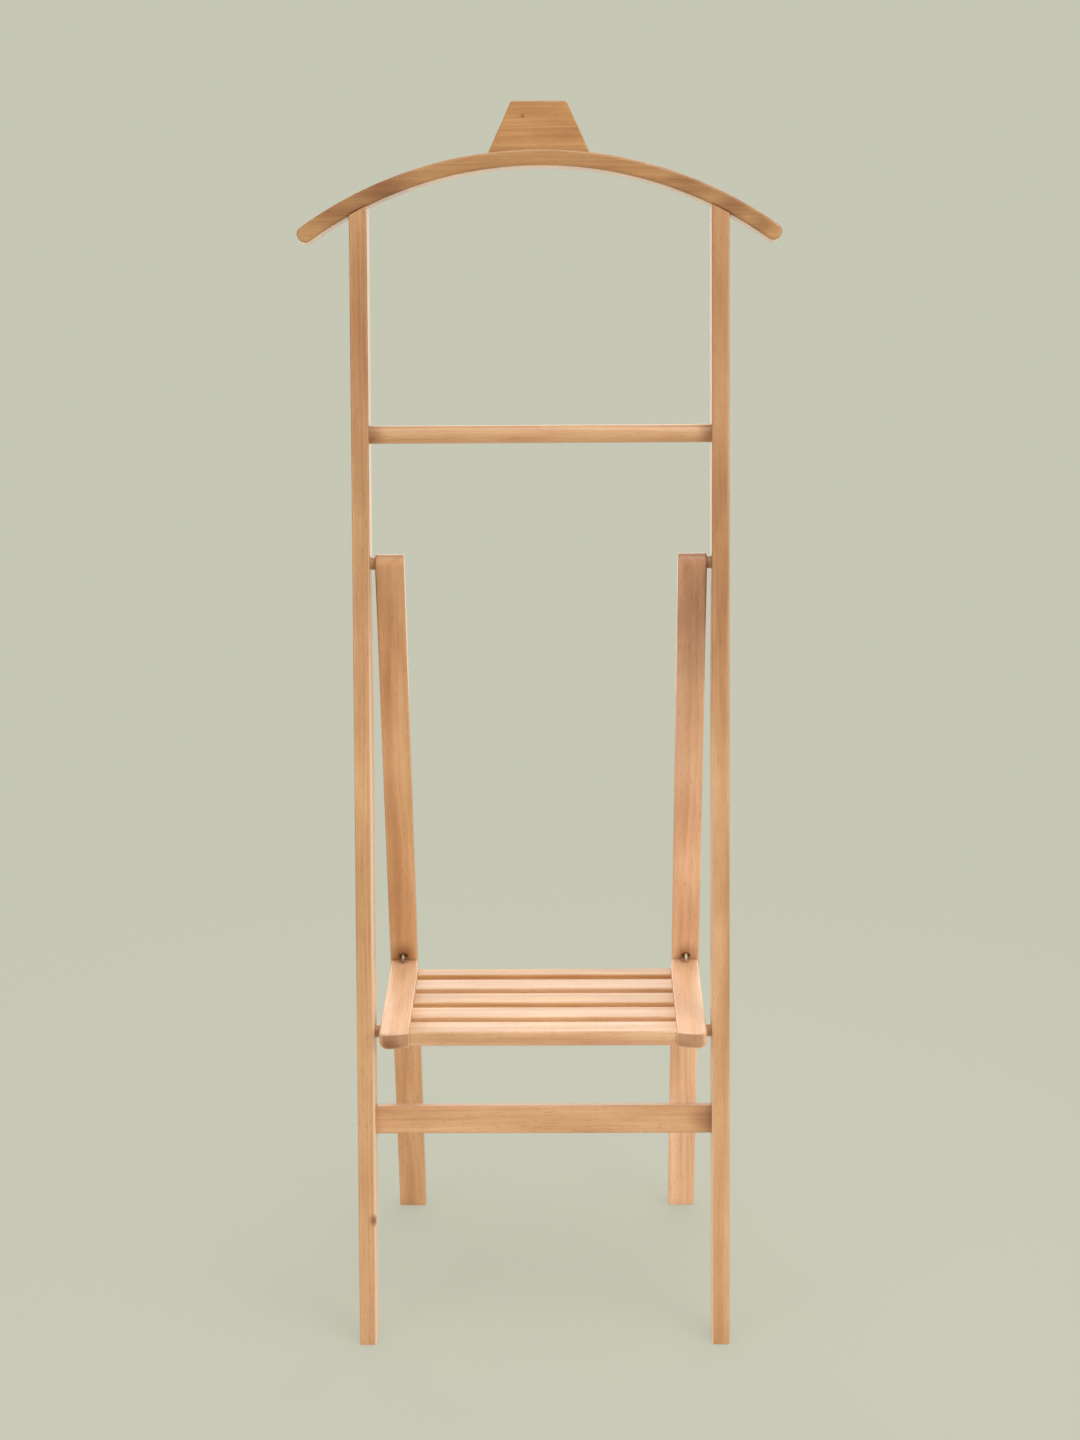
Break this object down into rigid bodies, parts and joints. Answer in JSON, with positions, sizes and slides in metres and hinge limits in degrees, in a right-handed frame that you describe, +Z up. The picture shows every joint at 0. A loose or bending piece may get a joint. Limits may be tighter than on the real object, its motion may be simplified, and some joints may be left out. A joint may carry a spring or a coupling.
{
  "type": "folding valet stand",
  "caption": "Folding wooden valet stand: leaning frame with an arched coat hanger and headpiece, a trouser bar, hinged rear legs and a slatted seat that hooks over pegs.",
  "frame": {"origin": "on the floor, midway between the front and the rear feet and on the middle plane", "axes": "+X to the right as the stand faces the viewer, +Y to the back, +Z up"},
  "size_m": [0.4664, 0.337, 1.1881],
  "materials": {
    "oiled_hardwood": "oiled",
    "dowel_wood": "oiled",
    "steel_wire": "drawn wire"
  },
  "bodies": {
    "front_frame": {"upright_left": "oiled_hardwood", "upright_right": "oiled_hardwood", "hanger": "oiled_hardwood", "headpiece": "oiled_hardwood", "trouser_bar": "oiled_hardwood", "front_stretcher": "oiled_hardwood", "leg_pivot_left": "dowel_wood", "leg_pivot_right": "dowel_wood", "seat_peg_left": "dowel_wood", "seat_peg_right": "dowel_wood", "hanger_dowel_left": "dowel_wood", "hanger_dowel_right": "dowel_wood", "headpiece_dowel_left": "dowel_wood", "headpiece_dowel_right": "dowel_wood"},
    "rear_legs": {"rear_leg_left": "oiled_hardwood", "rear_leg_right": "oiled_hardwood", "leg_eye_left": "steel_wire", "leg_eye_right": "steel_wire"},
    "seat": {"seat_rail_left": "oiled_hardwood", "seat_rail_right": "oiled_hardwood", "seat_slat_1": "oiled_hardwood", "seat_slat_2": "oiled_hardwood", "seat_slat_3": "oiled_hardwood", "seat_slat_4": "oiled_hardwood", "seat_slat_5": "oiled_hardwood", "rail_eye_left": "steel_wire", "rail_eye_right": "steel_wire"}
  },
  "joints": [
    {"name": "leg_fold", "type": "hinge", "parent": "front_frame", "child": "rear_legs", "pos_m": [0, -0.00194, 0.75204], "axis": [-1, 0, 0], "range_deg": [0, 21.85]},
    {"name": "seat_fold", "type": "hinge", "parent": "rear_legs", "child": "seat", "pos_m": [0, 0.07362, 0.3161], "axis": [-1, 0, 0], "range_deg": [0, 77.9]}
  ],
  "couplings": [
    {"joint": "seat_fold", "follows": "leg_fold", "ratio": 3.5652}
  ]
}
